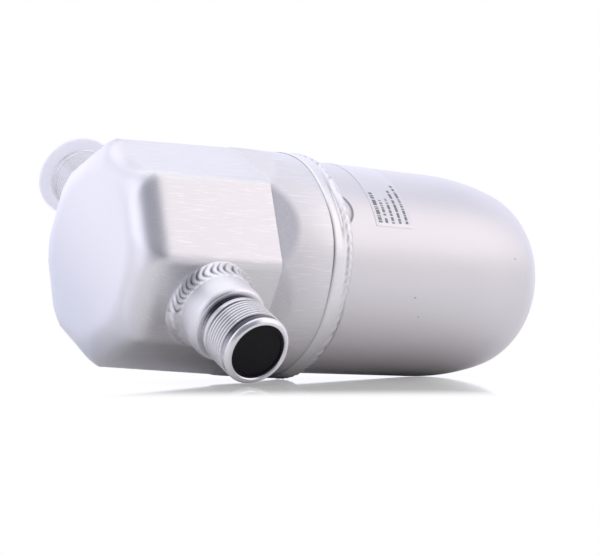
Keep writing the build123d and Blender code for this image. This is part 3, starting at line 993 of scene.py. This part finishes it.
cap_plastic = Finish("cap_plastic", (0.86, 0.86, 0.93), 0.4)
haze = cap_plastic.noise(cap_plastic.place(), 60, 2)
cap_plastic.constant("Subsurface Weight", 0.35)
cap_plastic.constant("Subsurface Radius", (0.01, 0.01, 0.012))
cap_plastic.constant("Subsurface Scale", 0.5)
cap_plastic.constant("Emission Color", (0.86, 0.86, 0.98, 1))
cap_plastic.constant("Emission Strength", 0.26)
cap_plastic.feed("Base Color", cap_plastic.mix(haze, (0.83, 0.83, 0.92), (0.90, 0.90, 0.96)))
cap_plastic.feed("Roughness", 0.35 + haze * 0.15)
cap_plastic.dress(node["rear_cap"])

# %% [markdown]
# ## Label
# The label is a silvery film with a pale cut edge. Its rows of plain bars stand for print and say
# nothing. Each row ends at an angle of its own, and a noise along the row breaks it into bars.

# %% Label finish
LABEL_ROWS = (  # station, end angle and half width
    (110.4, 42, 0.95),
    (113.6, 37, 0.7),
    (117.0, 39, 0.7),
    (120.6, 45, 0.7),
    (124.2, 50, 0.7),
)
ROWS_FROM = 22.5  # angle at which the rows start, in degrees

label = Finish("label_film", (0.84, 0.84, 0.87), 0.35)
station, side, rise = label.whereabouts()
angle = rise.angle_over(side)
ink = 0
for row, (row_station, row_end, half) in enumerate(LABEL_ROWS):
    bars = label.stretched(angle * 0.9, row * 7.3, 0.0, 1).over(0.42, 0.47)
    line = station.within(row_station - half, row_station + half, 0.08)
    ink = ink + line * angle.within(ROWS_FROM, row_end, 0.2) * bars
sheen = label.noise(label.place(), 45, 2)
film = label.mix(sheen, (0.80, 0.80, 0.84), (0.88, 0.88, 0.90))
edge = angle.over(23.2, 22.4).maximum(station.over(107.0, 106.4))
film = label.mix(edge * 0.5, film, (0.98, 0.98, 0.98))
label.constant("Metallic", 0.55)
label.feed("Base Color", label.mix(ink * 0.8, film, (0.10, 0.10, 0.11)))
label.feed("Roughness", 0.3 + sheen * 0.12)
label.dress(node["can_label"])

# %% [markdown]
# ## Pieces inside
# Nothing of these shows until the drier is cut open, but each still gets a finish of its own:
# metal for tube and braze, nylon for what is moulded, felt for the bags and mesh for the screen.

# %% Tube and braze finishes
tube_metal = Finish("tube_metal", (0.75, 0.75, 0.77), 0.3, 1.0)
haze = tube_metal.noise(tube_metal.place(), 120, 3)
tube_metal.feed("Base Color", tube_metal.mix(haze, (0.70, 0.70, 0.72), (0.80, 0.80, 0.81)))
tube_metal.feed("Roughness", 0.25 + haze * 0.15)
tube_metal.dress(node["pickup_tube"])

braze = Finish("braze_metal", (0.68, 0.67, 0.66), 0.45, 1.0)
crust = braze.noise(braze.place(), 600, 3)
braze.feed("Base Color", braze.mix(crust, (0.58, 0.57, 0.55), (0.76, 0.75, 0.73)))
braze.feed("Normal", braze.bump(crust, 0.1, 0.6))
braze.dress(node["tube_braze"])

# %% Nylon finishes
nylon = Finish("natural_nylon", (0.80, 0.79, 0.73), 0.45)
milk = nylon.noise(nylon.place(), 300, 3)
nylon.feed("Base Color", nylon.mix(milk, (0.77, 0.76, 0.69), (0.84, 0.83, 0.78)))
nylon.feed("Roughness", 0.4 + milk * 0.15)
nylon.feed("Normal", nylon.bump(milk, 0.03, 0.4))
nylon.dress(
    node["deflector"],
    node["tube_spacer"],
    node["filter_housing_lower"],
    node["filter_housing_upper"],
)

tie = Finish("tie_nylon", (0.06, 0.06, 0.065), 0.4)
tie.feed("Roughness", 0.35 + tie.noise(tie.place(), 500, 2) * 0.2)
tie.dress(node["bag_ties"])

# %% Bag and screen finishes
felt = Finish("bag_felt", (0.86, 0.84, 0.78), 0.9)
fibre = felt.noise(felt.place(), 1800, 4, 0.7)
beads = felt.add("ShaderNodeTexVoronoi", None, {"Vector": felt.place(), "Scale": 420})
felt.constant("Sheen Weight", 0.3)
felt.feed("Base Color", felt.mix(fibre, (0.78, 0.76, 0.70), (0.93, 0.91, 0.86)))
felt.feed("Normal", felt.bump(fibre * 0.4 + (1 - beads * 1.4), 0.5, 0.7))
felt.dress(node["desiccant_bag_lower"], node["desiccant_bag_upper"])

mesh_cloth = Finish("filter_mesh", (0.70, 0.71, 0.70), 0.55)
weave_values = {"Vector": mesh_cloth.place(), "Scale": 2500}
weave = mesh_cloth.add("ShaderNodeTexVoronoi", None, weave_values)
mesh_cloth.feed("Base Color", mesh_cloth.mix(weave, (0.76, 0.77, 0.76), (0.45, 0.46, 0.45)))
mesh_cloth.feed("Normal", mesh_cloth.bump(weave, 0.15, 0.8))
mesh_cloth.dress(node["filter_screen"])

# %% [markdown]
# ## Studio
# Bare aluminium shows what stands round it more than its own colour. Many lamps and screens would
# do, but a world that depends on direction is easier to steer and casts no hard shadows. Azimuths
# are counted from the near side, -Y, towards +X, and the camera stands at azimuth -36.

# %% Directions in the studio
world = bpy.data.worlds.new("studio")
world.use_nodes = True
bpy.context.scene.world = world
room = Recipe(world.node_tree)
ray = room.add("ShaderNodeTexCoord", output="Generated")
look = Vector((0.577, 0.816, 0.0))  # level direction in which the camera looks


def cosine(degrees):
    return math.cos(math.radians(degrees))


def sine(degrees):
    return math.sin(math.radians(degrees))


def toward(azimuth, elevation):
    """Direction at an azimuth and an elevation, in degrees."""
    level = cosine(elevation)
    return Vector((sine(azimuth) * level, -cosine(azimuth) * level, sine(elevation)))


def patch(azimuth, elevation, edge, core):
    """1 within core degrees of a direction, falling to 0 at edge degrees from it."""
    return room.dot(ray, toward(azimuth, elevation)).over(cosine(edge), cosine(core))


height = room.dot(ray, Vector((0, 0, 1)))
print("the camera looks along", tuple(round(value, 3) for value in look))

# %% [markdown]
# The room is even and lavender. It has a broad warm softbox on the right, cut off at the horizon, a
# white wall behind the drier, a small lamp and a weak glow on the left, and a dark screen beside
# the camera that draws the dark shoulder on the head.

# %% What stands in the studio
softbox = patch(47, 27, 40, 10) * (0.4 + height.over(sine(3), sine(18)) * 0.6)
wall = room.dot(ray, look).over(0.2, 0.9) * height.over(sine(70), sine(35))
level_reach = (1 - height * height).root()
beside = room.dot(ray, toward(-27, 0)) / level_reach  # by azimuth alone
screen = beside.over(cosine(56), cosine(24)) * height.over(sine(54), sine(40))
spark = patch(-92, 26, 32, 10)
left_glow = room.dot(ray, toward(-150, 20)).over(0.75, 1.0)
right_side = room.dot(ray, toward(55, -8)).over(0.35, 0.95)

strength = 0.76 + softbox * 0.46 + wall * 0.34 + left_glow * 0.2 + spark * 0.5
strength = strength * (1 - screen * 0.62)
tint = room.mix(right_side, (0.97, 0.965, 1.09), (1.01, 0.985, 1.03))
tint = room.mix(softbox, tint, (1.05, 0.975, 1.01))
tint = room.mix(screen * 0.6, tint, (0.88, 0.95, 1.15))
tint = room.mix(wall * 0.8, tint, (0.965, 0.965, 1.14))
print("nodes so far:", len(world.node_tree.nodes))

# %% [markdown]
# The camera itself sees plain white, and so does light that comes through something clear. Metal
# goes on reflecting the studio.

# %% What the camera sees
camera_ray = room.add("ShaderNodeLightPath", output="Is Camera Ray")
clear_ray = Signal(room, camera_ray.socket.node.outputs["Is Transmission Ray"])
plain = camera_ray.maximum(clear_ray)
sky = world.node_tree.nodes["Background"]
world.node_tree.links.new(room.mix(plain, tint, (1, 1, 1)).socket, sky.inputs["Color"])
world.node_tree.links.new((strength * (1 - plain) + plain).socket, sky.inputs["Strength"])
print("nodes in the studio:", len(world.node_tree.nodes))

# %% [markdown]
# ## Table
# The table is glossy and pale. Close to the drier it shows the drier's shade and reflection, and
# farther out the camera sees it as plain white, so no edge of it shows.

# %% Table
TABLE_DROP = 0.00005  # metres below the drier
WHITENED = 0.3  # share of plain white close to the drier

bpy.ops.object.select_all(action="DESELECT")
bpy.ops.mesh.primitive_plane_add(size=8, location=(0, 0, -TABLE_DROP))
floor = bpy.context.object
floor.name = "table_top"

table = Finish("table_gloss", (0.86, 0.85, 0.82), 0.04)
middle = Vector((0, 0, 0))
depth = table.measure(look, middle)
across = table.measure(look.cross(Vector((0, 0, 1))), middle)
# Plain white begins and is full at these distances before, behind, left and right of the drier.
far = depth.over(-145, -225).maximum(depth.over(100, 220))
far = far.maximum(across.over(-34, -78)).maximum(across.over(38, 92))
seen = table.add("ShaderNodeLightPath", output="Is Camera Ray")
white = table.add("ShaderNodeEmission", None, {"Strength": 1.0})
gloss = Signal(table, table.shader.outputs["BSDF"])
whiteness = seen * (WHITENED + far * 0.7)
blend = table.add("ShaderNodeMixShader", None, {0: whiteness, 1: gloss, 2: white})
table.tree.links.new(blend.socket, table.tree.nodes["Material Output"].inputs["Surface"])
table.dress(floor)

# %% [markdown]
# ## Lamp
# The world does nearly all of the lighting. One large weak lamp overhead adds the soft shade under
# the drier that sets it down on the table. An area lamp shines straight down unless it is turned.

# %% Lamp
lamp_data = bpy.data.lights.new("overhead", "AREA")
lamp_data.size = 1.2
lamp_data.energy = 2
lamp = bpy.data.objects.new("overhead", lamp_data)
lamp.location = (0.0, 0.0, 1.1)
bpy.context.scene.collection.objects.link(lamp)
bpy.context.scene.view_settings.view_transform = "Standard"
print("lamp of", lamp_data.energy, "W,", round(lamp.location.z, 2), "m above the table")
